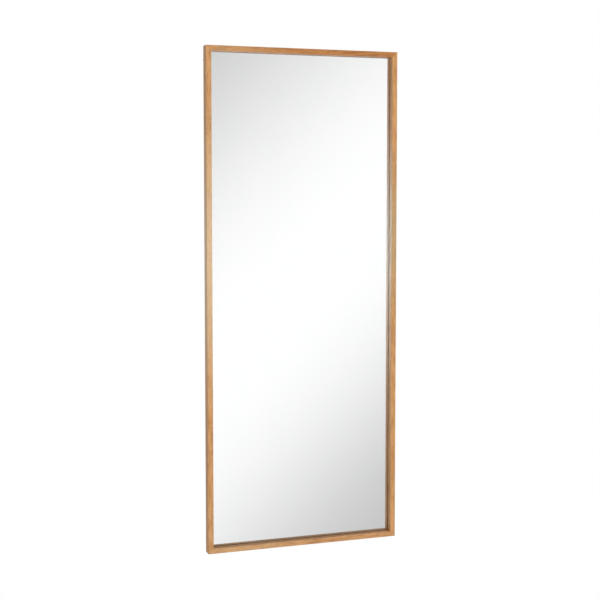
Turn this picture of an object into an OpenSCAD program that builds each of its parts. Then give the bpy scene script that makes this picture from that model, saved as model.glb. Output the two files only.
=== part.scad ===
// Tall wall mirror in a slim frame of solid oak, millimetres.
// +Z is up and the mirror looks along -Y. The origin is on the wall, at the middle of the mirror's
// width and height: the wall is the plane y = 0, which the four rubber pads touch.
// Four bars of one L section meet in glued mitres. The pane is dropped in from behind against the
// lip, stands on two pads, and is held by a board and four pinned beads.

/* [Frame] */
// Width of the whole frame, across both stiles
frame_w = 600; // [300:10:1000]
// Height of the whole frame, over both rails
frame_h = 1500; // [600:10:2000]
// Depth of the frame, from its face to its back edge
frame_d = 32; // [32:1:60]
// Width of the face that shows from the front
face_w = 16; // [13:0.5:40]
// Depth of the wall that stands in front of the pane
reveal_d = 18; // [8:0.5:18.5]
// Width of the rebate that takes the pane from behind
rebate_w = 5; // [4:0.5:6]
// Bevel that eases the long edges of each bar
arris = 0.5; // [0.2:0.1:1.5]

/* [Mitre nails] */
// Depth to which a V nail is driven from the back edge
nail_len = 10; // [6:1:15]
// Reach of each leg of a V nail to its side of the mitre
nail_reach = 3.5; // [2:0.5:4]
// Thickness of a V nail, measured along the mitre
nail_t = 1; // [0.6:0.1:1.2]

/* [Pane] */
// Thickness of the glass
glass_t = 4; // [3:0.5:4.5]
// Bevel ground on the edges of the glass
glass_seam = 0.5; // [0.2:0.1:1]
// Thickness of the silvering with its paint
coat_t = 0.1; // [0.1:0.1:0.5]
// Play between the pane's edges and the rebate, all round
pane_play = 1; // [0.5:0.5:2]
// Length of each pad that the pane stands on
stand_pad_len = 30; // [15:5:60]

/* [Backing] */
// Thickness of the backing board
board_t = 3; // [2:0.5:3.5]
// Width of the retaining beads
bead_w = 9; // [7:0.5:14]
// Depth of the retaining beads
bead_d = 6; // [5:0.5:6.5]
// Radius of the rounded edge of a bead
bead_round = 2.5; // [1:0.5:4]
// Number of pins in each upright bead
stile_pins = 6; // [3:1:10]
// Number of pins in each level bead
rail_pins = 3; // [2:1:6]
// Length of a pin
pin_len = 16; // [12:1:18]
// Thickness of a pin
pin_d = 1.2; // [1:0.1:1.6]
// Slant of the pins, towards the front
pin_slant = 10; // [5:1:12]

/* [Hangers] */
// Height from the top of the frame down to the hinge of each ring
hanger_drop = 200; // [80:10:400]
// Width of the folded strap
strap_w = 8; // [7:0.5:8]
// Thickness of the strap's sheet
strap_t = 0.8; // [0.6:0.1:1]
// Thickness of the ring's wire
wire_d = 1.8; // [1.5:0.1:2]
// Length of the ring's straight legs, from its hinge to its bow
ring_leg = 6; // [4:0.5:12]
// Distance between the two screws of a strap
screw_pitch = 12; // [10:1:20]
// Thickness of a screw's shank
screw_d = 3; // [2.5:0.5:3.5]
// Length of a screw under its head
screw_len = 16; // [10:1:20]
// Width of a screw's head
head_d = 6; // [5:0.5:7]

/* [Wall pads] */
// Thickness of the rubber pads, and so the gap between frame and wall
pad_t = 5; // [5:0.5:10]
// Distance from a corner of the frame to the middle of its pad
pad_inset = 40; // [30:5:150]

/* [Hidden] */

$fn = 48;
half_w = frame_w / 2;
half_h = frame_h / 2;

// Planes from the wall forwards and back again, along y
back_y = -pad_t;
front_y = back_y - frame_d;
lip_y = front_y + reveal_d;
silver_y = lip_y + glass_t;
board_y = silver_y + coat_t;
bead_y = board_y + board_t;

// The back edge is what the rebate leaves of the face's width
edge_w = face_w - rebate_w;
pane_w = frame_w - 2 * edge_w - 2 * pane_play;
pane_h = frame_h - 2 * edge_w - 2 * pane_play;

// Pads under the pane: a little shallower than what stands on them
stand_pad_d = glass_t + coat_t + board_t - 0.4;

// Pins: seated just below the bead's face, in holes with a little air
pin_sunk = 0.5;
pin_air = 0.05;
pin_end = 60;
pin_back = 2.2;

// Mitre nails, set just below the back edge
nail_rise = 2.5;
nail_sunk = 0.3;
nail_from = (edge_w * sqrt(2) - nail_rise - nail_t) / 2;

// Ring and folded eye
eye_air = 0.1;
wire_r = wire_d / 2;
eye_in = wire_r + eye_air;
eye_out = eye_in + strap_t;
side_air = 0.2;
ring_half = strap_w / 2 + side_air + wire_r;
ring_bend = wire_r + side_air;
ring_reach = ring_leg + ring_half;
edge_margin = 0.5;
hanger_x = half_w - edge_margin - ring_half - wire_r;
hanger_z = half_h - hanger_drop;
// A hanging ring lies a little off the strap, so it leans out by this angle
rest_air = 0.5;
ring_lean = asin((2 * strap_t + wire_r + rest_air - eye_out) / ring_reach);

// Strap: its first screw clears the hanging ring, its end is round
head_h = 1.8;
hole_air = 0.2;
thread_air = 0.05;
screw_first = ring_reach + wire_r + head_d / 2 + 1;
strap_len = screw_first + screw_pitch + strap_w / 2 + 1;
fold_end = 2 * eye_out;

pad_r = edge_w / 2 - edge_margin;
pad_round = 1;

function quarter(cx, cy, r, from, steps = 6) =
    [for (i = [0 : steps]) [cx + r * cos(from + 90 * i / steps), cy + r * sin(from + 90 * i / steps)]];

// L section of the frame: x runs inwards from the outer face, y back from the front face
function frame_section() = [
    [arris, 0], [face_w - arris, 0], [face_w, arris],
    [face_w, reveal_d], [edge_w, reveal_d],
    [edge_w, frame_d - arris], [edge_w - arris, frame_d],
    [arris, frame_d], [0, frame_d - arris], [0, arris]
];

// Section of a bead: flat to the rebate and to the board, rounded where it is handled
function bead_section() = concat(
    [[0, 0], [bead_w, 0]],
    quarter(bead_w - bead_round, bead_d - bead_round, bead_round, 0),
    [[0, bead_d]]
);

// Puts a bar made along z, with x inwards, on one side of the frame, at an inset from outside
module on_side(side, inset, y) {
    if (side == "left") translate([-half_w + inset, y, 0]) children();
    if (side == "right") mirror([1, 0, 0]) translate([-half_w + inset, y, 0]) children();
    if (side == "top") translate([0, y, half_h - inset]) rotate([0, 90, 0]) children();
    if (side == "bottom") translate([0, y, -half_h + inset]) rotate([0, -90, 0]) children();
}

// A bar of any section with both ends cut to 45 degrees
module mitred_bar(section, width, depth, length) {
    intersection() {
        linear_extrude(length, center = true) polygon(section);
        translate([0, depth + 1, 0]) rotate([90, 0, 0]) linear_extrude(depth + 2) polygon([
            [0, -length / 2], [0, length / 2],
            [width, length / 2 - width], [width, width - length / 2]
        ]);
    }
}

// Pins of one bead, or their holes, in the frame bar's own place
module pin_row(count, length, hole = false) {
    step = (length - 2 * pin_end) / (count - 1);
    start = hole ? 1 : -pin_sunk;
    for (i = [0 : count - 1])
        translate([edge_w + bead_w, bead_y + bead_d - pin_back - front_y, (i - (count - 1) / 2) * step])
            rotate([0, 0, pin_slant]) rotate([0, -90, 0]) translate([0, 0, -start])
                cylinder(h = pin_len + start + pin_sunk, d = pin_d + (hole ? 2 * pin_air : 0));
}

// Puts a shape, with x running inwards along the mitre, at each corner of the back edge
module at_corners() {
    for (sx = [-1, 1], sz = [-1, 1])
        translate([sx * half_w, back_y, sz * half_h]) rotate([0, atan2(sz, -sx), 0]) children();
}

// One V nail from its seat forwards; its pocket runs out through the back edge
module v_nail(pocket = false) {
    top = pocket ? 1 : -nail_sunk;
    translate([nail_from, top, 0]) rotate([90, 0, 0])
        linear_extrude(top + nail_sunk + nail_len) polygon([
            [0, 0], [nail_rise, nail_reach], [nail_rise + nail_t, nail_reach],
            [nail_t, 0], [nail_rise + nail_t, -nail_reach], [nail_rise, -nail_reach]
        ]);
}

module frame_bar(side, length, pins) {
    color("#DEBB91") difference() {
        on_side(side, 0, front_y) difference() {
            mitred_bar(frame_section(), face_w, frame_d, length);
            pin_row(pins, length, true);
        }
        at_corners() v_nail(true);
        if (side == "left") screw_holes(-1);
        if (side == "right") screw_holes(1);
    }
}

module bead(side, length, pins) {
    color("#C9A77C") difference() {
        on_side(side, edge_w, bead_y)
            mitred_bar(bead_section(), bead_w, bead_d, length - 2 * edge_w);
        on_side(side, 0, front_y) pin_row(pins, length, true);
    }
}

module left_stile() { frame_bar("left", frame_h, stile_pins); }
module right_stile() { frame_bar("right", frame_h, stile_pins); }
module top_rail() { frame_bar("top", frame_w, rail_pins); }
module bottom_rail() { frame_bar("bottom", frame_w, rail_pins); }
module bead_left() { bead("left", frame_h, stile_pins); }
module bead_right() { bead("right", frame_h, stile_pins); }
module bead_top() { bead("top", frame_w, rail_pins); }
module bead_bottom() { bead("bottom", frame_w, rail_pins); }

module bead_pins() {
    color("silver") {
        for (side = ["left", "right"]) on_side(side, 0, front_y) pin_row(stile_pins, frame_h);
        for (side = ["top", "bottom"]) on_side(side, 0, front_y) pin_row(rail_pins, frame_w);
    }
}

module corner_nails() {
    color("slategray") at_corners() v_nail();
}

// A flat sheet as large as the pane, less an inset all round
module sheet(y, thickness, inset = 0) {
    translate([inset - pane_w / 2, y, inset - pane_h / 2])
        cube([pane_w - 2 * inset, thickness, pane_h - 2 * inset]);
}

// Section across a pane, with its four edges ground off
function seamed_section(width, depth) = [
    [glass_seam - width / 2, 0], [width / 2 - glass_seam, 0], [width / 2, glass_seam],
    [width / 2, depth - glass_seam], [width / 2 - glass_seam, depth],
    [glass_seam - width / 2, depth], [-width / 2, depth - glass_seam], [-width / 2, glass_seam]
];

module mirror_glass() {
    color("#D8E4E0") translate([0, lip_y, 0]) intersection() {
        linear_extrude(pane_h, center = true) polygon(seamed_section(pane_w, glass_t));
        rotate([0, 90, 0]) linear_extrude(pane_w, center = true) polygon(seamed_section(pane_h, glass_t));
    }
}

// The silver and its paint end where the ground edge of the glass begins
module silvering() { color("#F2F3F3") sheet(silver_y, coat_t, glass_seam); }
module backing_board() { color("#8A6A4A") sheet(board_y, board_t); }

module pane_pads() {
    color("dimgray") for (sx = [-1, 1])
        translate([sx * pane_w / 4 - stand_pad_len / 2, lip_y, -half_h + edge_w])
            cube([stand_pad_len, stand_pad_d, pane_play]);
}

// Strap in section: y out from the wood, z up, the ring's hinge at the eye's centre.
// One sheet lies on the wood, rolls round the wire and is pressed down on itself below the eye.
module strap_section() {
    fold = [2 * strap_t, -fold_end];
    way = fold - [eye_out, 0];
    turn = atan2(way[1], way[0]) + acos(eye_out / norm(way));
    steps = 24;
    difference() {
        polygon(concat(
            [[0, -strap_len]],
            [for (i = [0 : steps])
                let (a = 180 + (turn - 180) * i / steps)
                [eye_out * (1 + cos(a)), eye_out * sin(a)]],
            [fold, [2 * strap_t, -strap_len]]
        ));
        translate([eye_out, 0]) circle(eye_in);
    }
}

// A hanger's own place: the wood's back edge is y = 0, the ring's hinge is at z = 0
module at_hanger(sx) {
    translate([sx * hanger_x, back_y, hanger_z]) children();
}

module screw_places() {
    for (i = [0, 1]) translate([0, 0, -screw_first - i * screw_pitch]) children();
}

module hanger_strap(sx) {
    color("silver") at_hanger(sx) difference() {
        intersection() {
            rotate([90, 0, 90]) linear_extrude(strap_w, center = true) strap_section();
            union() {
                translate([-strap_w, -1, strap_w / 2 - strap_len])
                    cube([2 * strap_w, 2 * eye_out + 2, strap_len + 2 * eye_out]);
                translate([0, -1, strap_w / 2 - strap_len])
                    rotate([-90, 0, 0]) cylinder(h = 2 * eye_out + 2, d = strap_w);
            }
        }
        screw_places() translate([0, -1, 0]) rotate([-90, 0, 0])
            cylinder(h = 2 * strap_t + 2, d = screw_d + 2 * hole_air);
    }
}

// Round-head wood screw: y = 0 is under the head, the point goes forwards
module wood_screw() {
    dome_r = (head_d * head_d / 4 + head_h * head_h) / (2 * head_h);
    tip = screw_d;
    difference() {
        union() {
            rotate([-90, 0, 0]) intersection() {
                translate([0, 0, head_h - dome_r]) sphere(dome_r);
                cylinder(h = head_h, d = head_d + 1);
            }
            rotate([90, 0, 0]) cylinder(h = screw_len - tip, d = screw_d);
            translate([0, tip - screw_len, 0]) rotate([90, 0, 0]) cylinder(h = tip, d1 = screw_d, d2 = 0.4);
        }
        for (turn = [0, 90]) translate([0, head_h, 0]) rotate([0, turn, 0])
            cube([head_d * 0.6, head_h, screw_d / 4], center = true);
    }
}

module screw_holes(sx) {
    at_hanger(sx) screw_places() translate([0, 1, 0]) rotate([90, 0, 0])
        cylinder(h = screw_len - 2 * strap_t + 2, d = screw_d + 2 * thread_air);
}

module hanger_screws() {
    color("gainsboro") for (sx = [-1, 1])
        at_hanger(sx) screw_places() translate([0, 2 * strap_t, 0]) wood_screw();
}

// Ring of round wire: a straight bar in the eye, two bends, two legs and a half-round bow
module d_ring() {
    straight = 2 * (ring_half - ring_bend);
    rotate([0, 90, 0]) cylinder(h = straight, r = wire_r, center = true);
    for (sx = [-1, 1]) {
        translate([sx * ring_half, 0, -ring_leg]) cylinder(h = ring_leg - ring_bend, r = wire_r);
        translate([sx * straight / 2, 0, -ring_bend]) rotate([90, 0, 0])
            rotate([0, 0, sx > 0 ? 0 : 90]) rotate_extrude(angle = 90) translate([ring_bend, 0]) circle(wire_r);
    }
    translate([0, 0, -ring_leg]) rotate([90, 0, 0])
        rotate([0, 0, 180]) rotate_extrude(angle = 180) translate([ring_half, 0]) circle(wire_r);
}

module hanger_ring(sx) {
    color("gainsboro") at_hanger(sx) translate([0, eye_out, 0]) rotate([ring_lean, 0, 0]) d_ring();
}

module hanger_strap_left() { hanger_strap(-1); }
module hanger_strap_right() { hanger_strap(1); }
module hanger_ring_left() { hanger_ring(-1); }
module hanger_ring_right() { hanger_ring(1); }

// Rubber pads, their edge rounded towards the wall
module wall_pads() {
    color("#2B2B2B") for (sx = [-1, 1], sz = [-1, 1])
        translate([sx * (half_w - edge_w / 2), back_y, sz * (half_h - pad_inset)])
            rotate([-90, 0, 0]) rotate_extrude() polygon(concat(
                [[0, 0], [pad_r, 0]],
                quarter(pad_r - pad_round, pad_t - pad_round, pad_round, 0),
                [[0, pad_t]]
            ));
}

left_stile();
right_stile();
top_rail();
bottom_rail();
corner_nails();
pane_pads();
mirror_glass();
silvering();
backing_board();
bead_left();
bead_right();
bead_top();
bead_bottom();
bead_pins();
hanger_strap_left();
hanger_strap_right();
hanger_screws();
hanger_ring_left();
hanger_ring_right();
wall_pads();
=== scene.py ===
# Tall wall mirror in a slim frame of solid oak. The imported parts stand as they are, and each
# section below gives one of them its finish, in the order in which the mirror is put together.
from math import radians
import bpy
import numpy as np
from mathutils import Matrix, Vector


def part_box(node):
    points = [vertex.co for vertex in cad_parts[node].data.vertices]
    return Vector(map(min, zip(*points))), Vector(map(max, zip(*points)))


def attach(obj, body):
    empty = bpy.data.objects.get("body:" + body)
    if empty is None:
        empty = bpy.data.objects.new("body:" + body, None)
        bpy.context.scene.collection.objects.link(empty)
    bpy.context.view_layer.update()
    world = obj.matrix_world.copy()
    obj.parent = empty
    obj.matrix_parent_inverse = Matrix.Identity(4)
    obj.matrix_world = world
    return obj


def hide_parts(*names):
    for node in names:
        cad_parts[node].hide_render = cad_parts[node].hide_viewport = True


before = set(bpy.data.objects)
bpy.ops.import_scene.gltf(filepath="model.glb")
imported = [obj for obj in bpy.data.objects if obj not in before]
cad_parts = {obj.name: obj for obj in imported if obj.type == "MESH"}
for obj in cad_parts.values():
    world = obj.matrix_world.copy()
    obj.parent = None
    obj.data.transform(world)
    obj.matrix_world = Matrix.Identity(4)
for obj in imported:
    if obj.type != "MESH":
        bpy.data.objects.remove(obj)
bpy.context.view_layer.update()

# The four bars are solid oak, planed to one L section, cut to 45 degrees and glued at the mitres.
# Each is sawn from its own board, so the heart of the tree lies elsewhere and tone and figure
# differ. The wood is sanded fine along the grain and oiled, which leaves the pores open and a
# soft satin sheen.


def linear(colour):
    """The linear RGBA of an sRGB hex colour: straight near black, a power of 2.4 above that."""
    parts = [int(colour[i:i + 2], 16) / 255 for i in (1, 3, 5)]
    return [c / 12.92 if c <= 0.04045 else ((c + 0.055) / 1.055) ** 2.4 for c in parts] + [1.0]


def add(tree, kind, inputs=None, **settings):
    """A shader node with its settings. An input is a plain value or the socket that feeds it."""
    made = tree.nodes.new("ShaderNode" + kind)
    for name, value in settings.items():
        setattr(made, name, value)
    for name, value in (inputs or {}).items():
        if isinstance(value, bpy.types.NodeSocket):
            tree.links.new(value, made.inputs[name])
        else:
            made.inputs[name].default_value = value
    return made.outputs


def new_material(name, finish):
    """A material of one Principled shader. finish(tree) gives what goes into its sockets."""
    made = bpy.data.materials.new(name)
    made.use_nodes = True
    made.node_tree.nodes.clear()
    shader = add(made.node_tree, "BsdfPrincipled", finish(made.node_tree))
    add(made.node_tree, "OutputMaterial", {"Surface": shader["BSDF"]})
    return made


def dress(node, material):
    """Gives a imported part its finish."""
    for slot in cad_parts[node].material_slots:
        slot.material = material


MM = 1000  # millimetres in a metre
BENDS = (120, 120, 330)  # mm, how slowly the grain wanders across a board and along it


def grain(tree, along, heart, wander):
    """Where a point lies in the tree its board came from, in millimetres: the distance from the
    heart, the way round it along a ring, and the way along the grain. along is the bar's axis,
    and heart is where the tree's middle lies across the bar. A bar along x is stood on end, so
    its length counts from right to left. The grain strays from the bar's line by up to wander."""
    turn = radians(90) if along == "x" else 0
    place = add(tree, "Mapping", {
        "Vector": add(tree, "TexCoord")["Object"], "Scale": (MM, MM, MM),
        "Rotation": (0, turn, 0), "Location": (-heart[0], -heart[1], 0)})[0]
    slow = add(tree, "VectorMath", {0: place, 1: [1 / bend for bend in BENDS]},
               operation="MULTIPLY")[0]
    drift = add(tree, "TexNoise", {"Vector": slow, "Scale": 1, "Detail": 1})["Color"]
    drift = add(tree, "VectorMath", {0: drift, 1: (0.5, 0.5, 0.5)}, operation="SUBTRACT")[0]
    drift = add(tree, "VectorMath", {0: drift, 1: (wander, wander, 0)}, operation="MULTIPLY")[0]
    place = add(tree, "VectorMath", {0: place, 1: drift}, operation="ADD")[0]
    x, y, z = add(tree, "SeparateXYZ", {"Vector": place})
    across = add(tree, "CombineXYZ", {"X": x, "Y": y})[0]
    radius = add(tree, "VectorMath", {0: across}, operation="LENGTH")["Value"]
    angle = add(tree, "Math", {0: y, 1: x}, operation="ARCTAN2")[0]
    arc = add(tree, "Math", {0: angle, 1: radius}, operation="MULTIPLY")[0]
    return add(tree, "CombineXYZ", {"X": radius, "Y": arc, "Z": z})[0]


def cells(tree, place, size):
    """A pattern's own space: one unit is size, the width, depth and length of one mark in mm."""
    return add(tree, "VectorMath", {0: place, 1: size}, operation="DIVIDE")[0]


def span(tree, value, start, stop, low=0.0, high=1.0):
    """Value, carried smoothly from start..stop to low..high and held at the ends."""
    return add(tree, "MapRange", {
        "Value": value, "From Min": start, "From Max": stop, "To Min": low, "To Max": high},
        interpolation_type="SMOOTHSTEP")[0]


def blend(tree, share, first, second):
    """Two colours, given as sockets or as hex, mixed by share."""
    sides = [linear(c) if isinstance(c, str) else c for c in (first, second)]
    return add(tree, "Mix", {0: share, 6: sides[0], 7: sides[1]}, data_type="RGBA")[2]


def reckon(tree, operation, *values):
    """One step of arithmetic on values or sockets."""
    return add(tree, "Math", dict(enumerate(values)), operation=operation.upper())[0]


def times(tree, first, second):
    """The product of two values."""
    return reckon(tree, "multiply", first, second)


OIL, OPEN = 0.3, 0.25  # roughness of the oiled skin, and what an open pore adds to it
RING = 2.4  # mm of growth a year
UNEVEN = (9, 60, 400)  # mm, over which good years and bad ones bend the rings
SPRING = (0.45, 0.1)  # of a year's growth, where the spring wood ends and where it is full
PORE = (0.45, 0.45, 9)  # mm, an open vessel of the spring wood; twice the true width, to show
FLECK = (5, 0.6, 12)  # mm, a medullary ray, a thin sheet that runs outwards from the heart
FIBRE = (0.5, 0.5, 28)  # mm
STREAK = (8, 9, 70)  # mm, the broader stripes of tone in a board
WANDER = 2.5  # mm
PORE_TONE, PORE_SHARE, PORE_DEPTH = "#6E4626", 0.72, 0.00005  # depth in m
FLECK_TONE, FLECK_SHARE = "#E8C99C", 0.26
FIBRE_SHARE, SPRING_SHARE = 0.8, 0.28  # how much of the light and of the dark wood they bring


def oiled_oak(tree, along, heart, tones, tone_and_sheen):
    """European oak, sanded and oiled: tones are its dark, middle and light wood. The last
    argument gives a length of the bar mixed towards one colour: its middle and half length in mm
    along the grain, its share and its colour. On the rails that is a change in the board's tone,
    on the left stile a painted highlight, the sheen of a light, and on the right stile darker
    wood with painted sheen. A year turns dark at its start, and pores lie in its spring wood."""
    dark, middle, light = tones
    place = grain(tree, along, heart, WANDER)
    radius, _, length = add(tree, "SeparateXYZ", {"Vector": place})
    uneven = add(tree, "TexNoise", {"Vector": cells(tree, place, UNEVEN), "Scale": 1})["Fac"]
    season = reckon(tree, "fract", reckon(tree, "multiply_add", radius, 1 / RING, uneven))
    spring = span(tree, season, *SPRING)
    streak = add(tree, "TexNoise", {
        "Vector": cells(tree, place, STREAK), "Scale": 1, "Detail": 4, "Roughness": 0.75})["Fac"]
    fibre = add(tree, "TexNoise", {
        "Vector": cells(tree, place, FIBRE), "Scale": 1, "Detail": 3, "Roughness": 0.6})["Fac"]
    vessel = add(tree, "TexVoronoi", {"Vector": cells(tree, place, PORE), "Scale": 1})["Distance"]
    pore = times(tree, span(tree, vessel, 0.42, 0.28), span(tree, spring, 0.2, 0.9, 0.15, 1))
    ray = add(tree, "TexVoronoi", {"Vector": cells(tree, place, FLECK), "Scale": 1})
    fleck = times(tree, span(tree, ray["Distance"], 0.3, 0.2),
                  span(tree, add(tree, "SeparateColor", {0: ray["Color"]})[0], 0.7, 0.9))
    colour = blend(tree, span(tree, streak, 0.43, 0.57), dark, middle)
    colour = blend(tree, times(tree, span(tree, fibre, 0.38, 0.66), FIBRE_SHARE), colour, light)
    colour = blend(tree, times(tree, spring, SPRING_SHARE), colour, dark)
    # The stretch: on the left stile a painted highlight, on the right stile painted sheen over
    # darker wood.
    centre, half_length, share, tone = tone_and_sheen
    off = reckon(tree, "absolute", reckon(tree, "subtract", length, centre))
    in_tone_and_sheen = span(tree, off, half_length, 0)
    colour = blend(tree, times(tree, in_tone_and_sheen, share), colour, tone)
    colour = blend(tree, times(tree, fleck, FLECK_SHARE), colour, FLECK_TONE)
    colour = blend(tree, times(tree, pore, PORE_SHARE), colour, PORE_TONE)
    rough = reckon(tree, "multiply_add", pore, OPEN, OIL)
    relief = reckon(tree, "subtract", times(tree, fibre, 0.25), pore)
    return {
        "Base Color": colour, "Roughness": rough, "IOR": 1.47,
        "Normal": add(tree, "Bump", {"Height": relief, "Distance": PORE_DEPTH})["Normal"]}


# The axis of a bar's grain, where its tree's heart lies beside it in mm, its tones, and its
# stretch:
# its place and colour, a painted highlight on the left stile, darker wood with painted sheen on
# the right stile, and a change of tone on the rails
BARS = {
    "left_stile": (
        "z", (-372, -70), ("#AE7135", "#CC9158", "#E3B47E"), (130, 520, 0.6, "#E9D2AC")),
    "right_stile": (
        "z", (236, -88), ("#AF7539", "#CD9255", "#DFAE75"), (190, 330, 0.6, "#B7A075")),
    "top_rail": (
        "x", (672, 52), ("#995C27", "#B9793D", "#CE9150"), (250, 260, 0.3, "#DDB684")),
    "bottom_rail": (
        "x", (-834, 66), ("#AE733E", "#CC935C", "#DFB07B"), (210, 300, 0.22, "#E5C496"))}
for bar, (along, heart, tones, tone_and_sheen) in BARS.items():
    dress(bar, new_material(f"oiled oak, {bar.replace('_', ' ')}",
                            lambda tree: oiled_oak(tree, along, heart, tones, tone_and_sheen)))

# A V nail of bright steel is pressed across each mitre from the back, to hold the joint while its
# glue sets. It is blanked from strip, which leaves fine lines along it.


def millimetres(tree):
    """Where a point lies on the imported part, in millimetres."""
    return add(tree, "VectorMath", {0: add(tree, "TexCoord")["Object"], 1: (MM, MM, MM)},
               operation="MULTIPLY")[0]


STEEL_CLOUD = (4, 4, 4)  # mm, over which bare or plated steel is a little brighter or duller


def steel(tree, colour, roughness, line):
    """Steel with fine lines, left by rolling or drawing: line is their size in mm on x, y and z.
    Roughness is the given one plus 0.16 times how far a line stands from the mean."""
    place = millimetres(tree)
    lines = add(tree, "TexNoise", {
        "Vector": cells(tree, place, line), "Scale": 1, "Detail": 2})["Fac"]
    cloud = add(tree, "TexNoise", {"Vector": cells(tree, place, STEEL_CLOUD), "Scale": 1})["Fac"]
    return {
        "Base Color": blend(tree, span(tree, cloud, 0.3, 0.7), *colour),
        "Metallic": 1.0,
        "Roughness": reckon(tree, "multiply_add", lines, 0.16, roughness - 0.08),
        "Normal": add(tree, "Bump", {"Height": lines, "Distance": 0.00001})["Normal"]}


dress("corner_nails", new_material("bright steel strip", lambda tree: steel(
    tree, ("#B9BBBD", "#C8CACC"), 0.32, (0.15, 4, 0.15))))

# Two pads of grey rubber lie on the bottom rail, and the pane stands on them. They are moulded,
# dull and a little dusty.
BLOOM = (6, 6, 6)  # mm


def rubber(tree, colour, roughness, grit):
    """Moulded rubber: a dull skin with a fine grit, grit mm in size, and a faint bloom."""
    place = millimetres(tree)
    grains = add(tree, "TexNoise", {
        "Vector": cells(tree, place, (grit, grit, grit)), "Scale": 1, "Detail": 3})["Fac"]
    bloom = add(tree, "TexNoise", {"Vector": cells(tree, place, BLOOM), "Scale": 1})["Fac"]
    return {
        "Base Color": blend(tree, span(tree, bloom, 0.35, 0.75), *colour),
        "Roughness": reckon(tree, "multiply_add", grains, 0.15, roughness),
        "IOR": 1.52,
        "Normal": add(tree, "Bump", {"Height": grains, "Distance": 0.00003})["Normal"]}


dress("pane_pads", new_material(
    "grey setting-block rubber", lambda tree: rubber(tree, ("#55585A", "#66696B"), 0.6, 0.3)))

# The pane is 4 mm clear float glass with seamed edges. Its faces are flat and polished by the
# float process, so it shows only its mirror image, with a trace of the iron's green.
DRAWN = (60, 60, 900)  # mm, the bands that the drawing of the ribbon leaves


def float_glass(tree):
    """Clear soda-lime glass, a shade greener or clearer in long bands, the way it was drawn."""
    bands = add(tree, "TexNoise", {"Vector": cells(tree, millimetres(tree), DRAWN), "Scale": 1})
    return {
        "Base Color": blend(tree, bands["Fac"], "#FEFFFE", "#FFFFFF"),
        "Roughness": 0.0, "IOR": 1.52, "Transmission Weight": 1.0}


dress("mirror_glass", new_material("clear float glass", float_glass))

# The mirror coat is silver on the back of the glass, under a grey protective paint. The packed
# sheet lies face to face with the glass, where a ray can't tell the two faces apart, so the coat
# is drawn again, a fiftieth of a millimetre behind.
COAT_GAP = 0.00002  # m
COAT_GRID = (7, 16)  # points across and up
FILM = (90, 90, 90)  # mm, over which the silver is a little thicker or thinner
PEEL = (3, 3, 3)  # mm, the orange peel of its paint


def sheet_mesh(name, low, high, columns, rows):
    """A closed sheet between two corners: low + u across + v up at the front, the same further
    back, with u and v in even steps from 0 to 1, and a rim that joins the two."""
    u, v = np.meshgrid(np.linspace(0, 1, columns), np.linspace(0, 1, rows))
    across = low[0] + (high[0] - low[0]) * u.ravel()
    up = low[2] + (high[2] - low[2]) * v.ravel()
    front = np.stack([across, np.full_like(across, low[1]), up], axis=1)
    back = front + [0, high[1] - low[1], 0]
    grid = np.arange(columns * rows).reshape(rows, columns)
    quads = np.stack(
        [grid[:-1, :-1], grid[:-1, 1:], grid[1:, 1:], grid[1:, :-1]], axis=-1).reshape(-1, 4)
    rim = np.concatenate([grid[0, :-1], grid[:-1, -1], grid[-1, :0:-1], grid[:0:-1, 0]])
    after = np.roll(rim, -1)
    count = columns * rows
    side = np.stack([after, rim, rim + count, after + count], axis=1)
    faces = np.concatenate([quads, quads[:, ::-1] + count, side])
    mesh = bpy.data.meshes.new(name)
    mesh.from_pydata(np.concatenate([front, back]).tolist(), [], faces.tolist())
    mesh.update()
    return mesh, len(quads)


def silver(tree):
    """Silver laid down chemically on glass: a plain mirror, its film thicker here and there."""
    film = add(tree, "TexNoise", {"Vector": cells(tree, millimetres(tree), FILM), "Scale": 1})
    return {
        "Base Color": blend(tree, film["Fac"], "#FAFAFB", "#FCFCFC"),
        "Metallic": 1.0, "Roughness": 0.0}


def back_paint(tree):
    """Grey paint, flowed on and baked: smooth, dull, with a faint orange peel."""
    place = millimetres(tree)
    peel = add(tree, "TexNoise", {
        "Vector": cells(tree, place, PEEL), "Scale": 1, "Detail": 2})["Fac"]
    return {
        "Base Color": blend(tree, peel, "#6F7376", "#7C8083"), "Roughness": 0.45, "IOR": 1.5,
        "Normal": add(tree, "Bump", {"Height": peel, "Distance": 0.00002})["Normal"]}


low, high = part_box("silvering")
coat_mesh, fronts = sheet_mesh("silver_coat", low + Vector((0, COAT_GAP, 0)), high, *COAT_GRID)
coat_mesh.materials.append(new_material("chemical silver", silver))
coat_mesh.materials.append(new_material("grey back paint", back_paint))
coat_mesh.polygons.foreach_set(
    "material_index", (np.arange(len(coat_mesh.polygons)) >= fronts).astype(np.int32))
coat = bpy.data.objects.new("silver_coat", coat_mesh)
bpy.context.scene.collection.objects.link(coat)
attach(coat, "mirror")
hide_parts("silvering")

# A sheet of hardboard closes the back. It is wood fibre, pressed hot to 3 mm: brown and slick,
# with darker fibres and shives scattered through it. Sizes are in mm; fibres are drawn coarse, to
# show.
BOARD_CLOUD, BOARD_SWIRL = (45, 45, 45), (5, 5, 5)
BOARD_FIBRE, SHIVE = (1.2, 1.2, 1.2), (7, 7, 4)
BOARD_TONES = ("#84603F", "#90694A")
FIBRE_TONE, SWIRL_TONE, SHIVE_TONE = "#AA825B", "#684830", "#4B311E"


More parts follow.
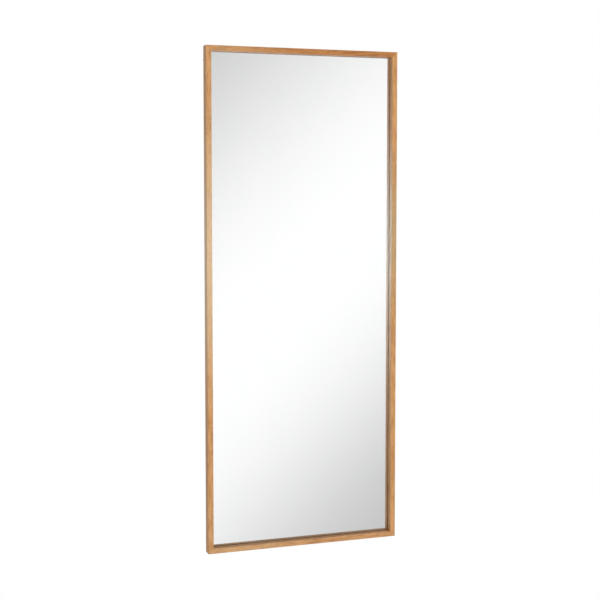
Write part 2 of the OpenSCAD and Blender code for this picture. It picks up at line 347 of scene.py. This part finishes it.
def hardboard(tree):
    """Pressed wood fibre: short fibres lie every way in the sheet, on a faintly cloudy ground."""
    place = millimetres(tree)
    cloud = add(tree, "TexNoise", {
        "Vector": cells(tree, place, BOARD_CLOUD), "Scale": 1, "Detail": 3})["Fac"]
    swirl = add(tree, "TexNoise", {
        "Vector": cells(tree, place, BOARD_SWIRL), "Scale": 1,
        "Detail": 2, "Distortion": 2.5})["Fac"]
    fibre = add(tree, "TexNoise", {
        "Vector": cells(tree, place, BOARD_FIBRE), "Scale": 1,
        "Detail": 4, "Distortion": 4})["Fac"]
    shive = add(tree, "TexVoronoi", {"Vector": cells(tree, place, SHIVE), "Scale": 1})["Distance"]
    colour = blend(tree, span(tree, cloud, 0.25, 0.75), *BOARD_TONES)
    colour = blend(tree, times(tree, span(tree, fibre, 0.35, 0.7), 0.5), colour, FIBRE_TONE)
    colour = blend(tree, times(tree, span(tree, swirl, 0.45, 0.7), 0.3), colour, SWIRL_TONE)
    colour = blend(tree, times(tree, span(tree, shive, 0.16, 0.1), 0.7), colour, SHIVE_TONE)
    return {
        "Base Color": colour, "IOR": 1.5,
        "Roughness": span(tree, fibre, 0.2, 0.8, 0.42, 0.6),
        "Normal": add(tree, "Bump", {"Height": fibre, "Distance": 0.00004})["Normal"]}


dress("backing_board", new_material("tempered hardboard", hardboard))

# Four beads of spruce, rounded on the edge that is handled, hold board and pane in the rebate.
# The wood is planed and left bare: pale, with close year lines and short dark resin streaks.
YEAR, STRAY = 1.8, 1.2  # mm, a year's growth, and how far the grain strays
UNEVEN_YEARS = (8, 50, 300)  # mm
SPRUCE_FIBRE, RESIN = (0.3, 0.3, 18), (0.6, 0.6, 14)  # mm
SPRUCE_TONES = ("#D8B888", "#E6CCA2")
SUMMER_TONE, RESIN_TONE = "#B8854F", "#8F6136"


def planed_spruce(tree, along, heart):
    """Bare softwood: each year darkens slowly towards its summer wood and then stops."""
    place = grain(tree, along, heart, STRAY)
    radius = add(tree, "SeparateXYZ", {"Vector": place})[0]
    uneven = add(tree, "TexNoise", {
        "Vector": cells(tree, place, UNEVEN_YEARS), "Scale": 1})["Fac"]
    season = reckon(tree, "fract", reckon(tree, "multiply_add", radius, 1 / YEAR, uneven))
    summer = times(tree, span(tree, season, 0.35, 0.9), span(tree, season, 1.0, 0.94))
    fibre = add(tree, "TexNoise", {"Vector": cells(tree, place, SPRUCE_FIBRE), "Scale": 1})["Fac"]
    duct = add(tree, "TexVoronoi", {"Vector": cells(tree, place, RESIN), "Scale": 1})["Distance"]
    colour = blend(tree, fibre, *SPRUCE_TONES)
    colour = blend(tree, times(tree, summer, 0.6), colour, SUMMER_TONE)
    colour = blend(tree, times(tree, span(tree, duct, 0.16, 0.1), 0.5), colour, RESIN_TONE)
    return {
        "Base Color": colour, "Roughness": 0.55, "IOR": 1.5,
        "Normal": add(tree, "Bump", {"Height": summer, "Distance": 0.00003})["Normal"]}


BEADS = {
    "bead_left": ("z", (-315, -48)), "bead_right": ("z", (330, -60)),
    "bead_top": ("x", (770, -52)), "bead_bottom": ("x", (-700, -44))}
for bead, (along, heart) in BEADS.items():
    dress(bead, new_material(f"planed spruce, {bead.replace('_', ' ')}",
                             lambda tree: planed_spruce(tree, along, heart)))

# Slanted pins of drawn steel wire, without heads, are driven through the beads into the bars, to
# hold board and pane in.
dress("bead_pins", new_material(
    "drawn steel wire", lambda tree: steel(tree, ("#A9ABAE", "#BBBDC0"), 0.3, (4, 0.12, 0.12))))

# Each hanger is a strap of zinc-plated sheet steel, rolled round its ring and pressed down on
# itself, and the ring of plated wire swings in its eye. The zinc is passivated blue: bright,
# slightly cloudy, with a faint cold tint.
ZINC = ("#C8CED3", "#DADEE1")
dress("hanger_strap_left", new_material(
    "blue zinc on sheet steel", lambda tree: steel(tree, ZINC, 0.3, (0.2, 0.2, 6))))
dress("hanger_strap_right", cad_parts["hanger_strap_left"].material_slots[0].material)
dress("hanger_ring_left", new_material(
    "blue zinc on wire", lambda tree: steel(tree, ZINC, 0.22, (0.3, 0.3, 3))))
dress("hanger_ring_right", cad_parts["hanger_ring_left"].material_slots[0].material)

# Two round-head wood screws hold each strap to its stile. They are headed cold from wire, with a
# cross punched in, rolled to a sharp thread below a plain neck, and plated. Sizes are in mm.
HEAD_R, HEAD_H, SHANK_R = 3.0, 1.8, 1.5
CROSS_HALF, CROSS_REACH, CROSS_FLOOR = 0.375, 1.8, 0.9
NECK, LENGTH, TIP, PITCH = 5.0, 16.0, 3.0, 1.35
CORE, POINT = 0.66, 0.2  # the core's share of the crest's radius, and the crest's at the tip
EIGHTH = (0, 6, 11.8, 18, 26, 35)  # degrees from the middle of an arm of the cross to half-way
HEAD_ROWS, THREAD_ROWS = 10, 150
CREASE = 32  # degrees, from which an edge stays crisp


def wood_screw():
    """Rings of points from the middle of the head to the tip. Each is given by its radius and
    height: the floor and the wall of the cross, the ball of the head, the neck, and then the
    thread. There the radius rises from core to crest once a turn, over a ridge 0.6 of a turn wide
    with a flat of 0.1, and core and crest narrow to the tip."""
    quarter = np.radians(EIGHTH + (45,) + tuple(90 - angle for angle in EIGHTH[:0:-1]))
    turn = (quarter + np.radians(90) * np.arange(4)[:, None]).ravel()
    slant = np.abs((turn + np.pi / 4) % (np.pi / 2) - np.pi / 4)
    cross = np.minimum(CROSS_REACH / np.cos(slant), CROSS_HALF / np.maximum(np.sin(slant), 1e-6))
    ball = (HEAD_R ** 2 + HEAD_H ** 2) / (2 * HEAD_H)
    outwards = np.linspace(0, 1, HEAD_ROWS)[:, None]
    head = cross + (HEAD_R - cross) * outwards
    down = np.linspace(NECK, LENGTH, THREAD_ROWS)[:, None]
    crest = np.interp(down, (LENGTH - TIP, LENGTH), (SHANK_R, POINT))
    core = crest * np.interp(down, (NECK, NECK + PITCH / 2), (1, CORE))
    way_round = (down / PITCH - turn / (2 * np.pi)) % 1
    thread = core + (crest - core) * np.clip(1.2 - np.abs(way_round - 0.5) / 0.25, 0, 1)
    even = np.ones_like(turn)
    radius = np.vstack([cross * 0.5, cross * 0.9, head, SHANK_R * even, thread])
    height = np.vstack([CROSS_FLOOR * even, CROSS_FLOOR * even,
                        HEAD_H - ball + np.sqrt(ball ** 2 - head ** 2),
                        0 * even, -down * even])
    return np.stack([radius * np.cos(turn), height, -radius * np.sin(turn)], axis=-1)


def rings_mesh(name, rings, places):
    """Rings of points joined to their neighbours, with a fan from the middle of the first and of
    the last ring. The whole is set down at each place."""
    rows, columns = rings.shape[:2]
    grid = np.arange(rows * columns).reshape(rows, columns)
    after = np.roll(grid, -1, axis=1)
    quads = np.stack([grid[:-1], grid[1:], after[1:], after[:-1]], axis=-1).reshape(-1, 4)
    top, tip = np.full(columns, rows * columns), np.full(columns, rows * columns + 1)
    fans = np.concatenate([
        np.stack([top, grid[0], after[0]], axis=1),
        np.stack([tip, after[-1], grid[-1]], axis=1)])
    points = np.concatenate([rings.reshape(-1, 3), rings[[0, -1]].mean(axis=1)])
    faces = []
    for number in range(len(places)):
        start = number * len(points)
        faces += (quads + start).tolist() + (fans + start).tolist()
    mesh = bpy.data.meshes.new(name)
    mesh.from_pydata(np.concatenate([points + place for place in places]).tolist(), [], faces)
    mesh.shade_smooth()
    mesh.set_sharp_from_angle(angle=radians(CREASE))
    return mesh


low, high = (np.array(corner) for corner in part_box("hanger_screws"))
inset = HEAD_R / MM
places = [(x, low[1] + LENGTH / MM, z) for x in (low[0] + inset, high[0] - inset)
          for z in (low[2] + inset, high[2] - inset)]
screw_mesh = rings_mesh("threaded_screws", wood_screw() / MM, places)
screw_mesh.materials.append(new_material(
    "blue zinc on screws", lambda tree: steel(tree, ZINC, 0.26, (0.3, 2, 0.3))))
screws = bpy.data.objects.new("threaded_screws", screw_mesh)
bpy.context.scene.collection.objects.link(screws)
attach(screws, "mirror")
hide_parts("hanger_screws")

# Four round pads of black rubber are glued to the back edge. They keep the frame off the wall,
# clear of the hangers, and stop it sliding.
dress("wall_pads", new_material(
    "black moulded rubber", lambda tree: rubber(tree, ("#1E1F20", "#2A2B2C"), 0.55, 0.4)))

# The studio: a pale floor half a metre below the mirror, a large soft lamp in front, another
# behind, and even light from all round. The floor keeps the mirror's shadow and is white beyond.
FLOOR_AT = -1.25
FLOOR_SIDE = 40
floor_mesh = bpy.data.meshes.new("floor")
half = FLOOR_SIDE / 2
floor_mesh.from_pydata(
    [(x * half, y * half, FLOOR_AT) for x, y in ((-1, -1), (1, -1), (1, 1), (-1, 1))],
    [], [(0, 1, 2, 3)])
floor = bpy.data.objects.new("floor", floor_mesh)
bpy.context.scene.collection.objects.link(floor)
floor.visible_glossy = False
floor.visible_transmission = False

FLOOR_GLOW = 0.4  # what the camera is given on top of the light that falls on the floor
FADE_FROM, FADE_TO = 0.5, 1.4  # m from under the mirror, between which its shadow fades to white
floor_paint = bpy.data.materials.new("white studio floor")
floor_paint.use_nodes = True
tree = floor_paint.node_tree
tree.nodes.clear()
lit = add(tree, "BsdfDiffuse", {"Color": linear("#E6E6E6")})[0]
seen = add(tree, "LightPath")["Is Camera Ray"]
white = add(tree, "Emission", {"Color": (1, 1, 1, 1), "Strength": 1})[0]
glow = add(tree, "Emission", {
    "Color": (1, 1, 1, 1), "Strength": times(tree, seen, FLOOR_GLOW)})[0]
flat = add(tree, "VectorMath", {0: add(tree, "TexCoord")["Object"], 1: (1, 1, 0)},
           operation="MULTIPLY")[0]
away = add(tree, "VectorMath", {0: flat}, operation="LENGTH")["Value"]
away = times(tree, span(tree, away, FADE_FROM, FADE_TO), seen)
add(tree, "OutputMaterial", {"Surface": add(tree, "MixShader", {
    0: away, 1: add(tree, "AddShader", {0: lit, 1: glow})[0], 2: white})[0]})
floor_mesh.materials.append(floor_paint)

# The mirror and the metal see a pale sweep that one bright band crosses slantwise. It is paler on
# the left, where a dark flag hangs with a tube of light across it, a pale floor lies far below,
# and high up it is dim. All of it is worked out from a ray's slopes: side is how far it goes
# across for each metre towards the studio, and rise is how far up. Across the band, light falls
# off as a bell with a flat top: e to the power of minus the distance raised to BAND_POWER.
FILL = 0.65  # the even light from all round
SWEEP = 0.5  # the pale grey far from the band
BAND_SIDE, BAND_RISE, BAND_AT = 1.013, 1.134, 0.439
BAND_BELOW, BAND_ABOVE, BAND_POWER = 0.283, 0.252, 2.55
MIRROR_GAIN = 1.05  # makes up for what glass and silver swallow
LEFT_LEVEL, LEFT_FROM, LEFT_TO = 0.75, 0.15, -0.15  # the sweep is paler on the left
FLAG_LEVEL = 0.1
FLAG_FROM, FLAG_TO, FLAG_BACK, FLAG_END = -0.14, -0.33, -0.65, -0.9  # full between TO and BACK
TUBE_LEVEL, TUBE_RISE, TUBE_HALF = 6.8, -0.048, 0.055
GROUND, GROUND_FROM, GROUND_TO = 0.86, -0.42, -0.7  # the floor, far below
CEILING, CEILING_FROM, CEILING_TO = 0.2, 0.12, 0.32  # high up, the share of light that is left
LEAST = 0.001  # keeps the slopes finite for a ray along the wall
BEHIND = 0.38  # the level behind the mirror's plane
WINDOW = 0.85  # a pale panel stands there, to the right, and lights the metal
WINDOW_SIDE, WINDOW_HALF, WINDOW_TOP = 0.85, (0.3, 0.6), (0.1, 0.3)
world = bpy.data.worlds.new("studio")
bpy.context.scene.world = world
world.use_nodes = True
tree = world.node_tree
tree.nodes.clear()
x, y, z = add(tree, "SeparateXYZ", {"Vector": add(tree, "TexCoord")["Generated"]})
ahead = reckon(tree, "maximum", reckon(tree, "absolute", y), LEAST)
side = reckon(tree, "divide", x, ahead)
rise = reckon(tree, "divide", z, ahead)
off = reckon(tree, "subtract", times(tree, side, BAND_SIDE), times(tree, rise, BAND_RISE))
off = reckon(tree, "subtract", off, BAND_AT)
width = reckon(tree, "multiply_add", reckon(tree, "less_than", off, 0),
               BAND_BELOW - BAND_ABOVE, BAND_ABOVE)
off = reckon(tree, "divide", reckon(tree, "absolute", off), width)
bell = reckon(tree, "exponent", times(tree, reckon(tree, "power", off, BAND_POWER), -1))
sweep = span(tree, side, LEFT_FROM, LEFT_TO, SWEEP, LEFT_LEVEL)
level = add(tree, "Mix", {0: bell, 2: sweep, 3: 1.0}, data_type="FLOAT")[0]
tube = reckon(tree, "divide", reckon(tree, "subtract", rise, TUBE_RISE), TUBE_HALF)
tube = reckon(tree, "exponent", times(tree, times(tree, tube, tube), -1))
flag = times(tree, span(tree, side, FLAG_FROM, FLAG_TO), span(tree, side, FLAG_END, FLAG_BACK))
level = add(tree, "Mix", {
    0: flag, 2: level, 3: reckon(tree, "multiply_add", tube, TUBE_LEVEL, FLAG_LEVEL)},
    data_type="FLOAT")[0]
level = add(tree, "Mix", {
    0: span(tree, rise, GROUND_FROM, GROUND_TO), 2: level, 3: GROUND}, data_type="FLOAT")[0]
level = times(tree, level, span(tree, rise, CEILING_FROM, CEILING_TO, 1, CEILING))
level = times(tree, level, MIRROR_GAIN)
beside = reckon(tree, "absolute", reckon(tree, "subtract", side, WINDOW_SIDE))
window = times(tree, span(tree, beside, *WINDOW_HALF[::-1]), span(tree, rise, *WINDOW_TOP[::-1]))
behind = reckon(tree, "multiply_add", window, WINDOW, BEHIND)
level = add(tree, "Mix", {0: reckon(tree, "greater_than", y, 0), 2: level, 3: behind},
            data_type="FLOAT")[0]
path = add(tree, "LightPath")
mirrored = reckon(tree, "maximum", path["Is Glossy Ray"], path["Is Transmission Ray"])
plain = reckon(tree, "multiply_add", path["Is Camera Ray"], 1 - FILL, FILL)
strength = add(tree, "Mix", {0: mirrored, 2: plain, 3: level}, data_type="FLOAT")[0]
add(tree, "OutputWorld", {"Surface": add(tree, "Background", {
    "Color": (1, 1, 1, 1), "Strength": strength})[0]})

# Each lamp is a square soft box that faces the mirror. Mirror, glass and metal leave it out of
# what they show.
LAMP_SIDE = 2.6  # m
LAMPS = {"front lamp": ((0.7, -4.3, 1.6), 87), "back lamp": ((1.8, 4.0, 1.4), 90)}  # place, watts
for name, (place, watts) in LAMPS.items():
    light = bpy.data.lights.new(name, "AREA")
    light.size = LAMP_SIDE
    light.energy = watts
    lamp = bpy.data.objects.new(name, light)
    lamp.location = place
    lamp.rotation_euler = (-Vector(place)).to_track_quat("-Z", "Y").to_euler()
    lamp.visible_camera = False
    lamp.visible_glossy = lamp.visible_transmission = False
    bpy.context.scene.collection.objects.link(lamp)

# The camera stands to the left of the mirror and above its middle, and looks down a little. The
# rest of the way down is a small shift of the picture, so that upright edges stay nearly upright.
CAMERA_AT = (-1.15, -3.4185, 0.3317)  # m
CAMERA_YAW, CAMERA_DIP = 18.58, 4.0  # degrees
SENSOR, LENS = 36, 71.47  # mm
SHIFT = -0.0447  # of the picture's width
camera = bpy.data.objects.new("camera", bpy.data.cameras.new("camera"))
camera.location = CAMERA_AT
camera.rotation_euler = (radians(90 - CAMERA_DIP), 0, -radians(CAMERA_YAW))
camera.data.sensor_width = SENSOR
camera.data.lens = LENS
camera.data.shift_y = SHIFT
bpy.context.scene.collection.objects.link(camera)
bpy.context.scene.camera = camera
bpy.context.scene.view_settings.view_transform = "Standard"
# The pane lights the frame's inner walls as a mirror does.
bpy.context.scene.cycles.blur_glossy = 0
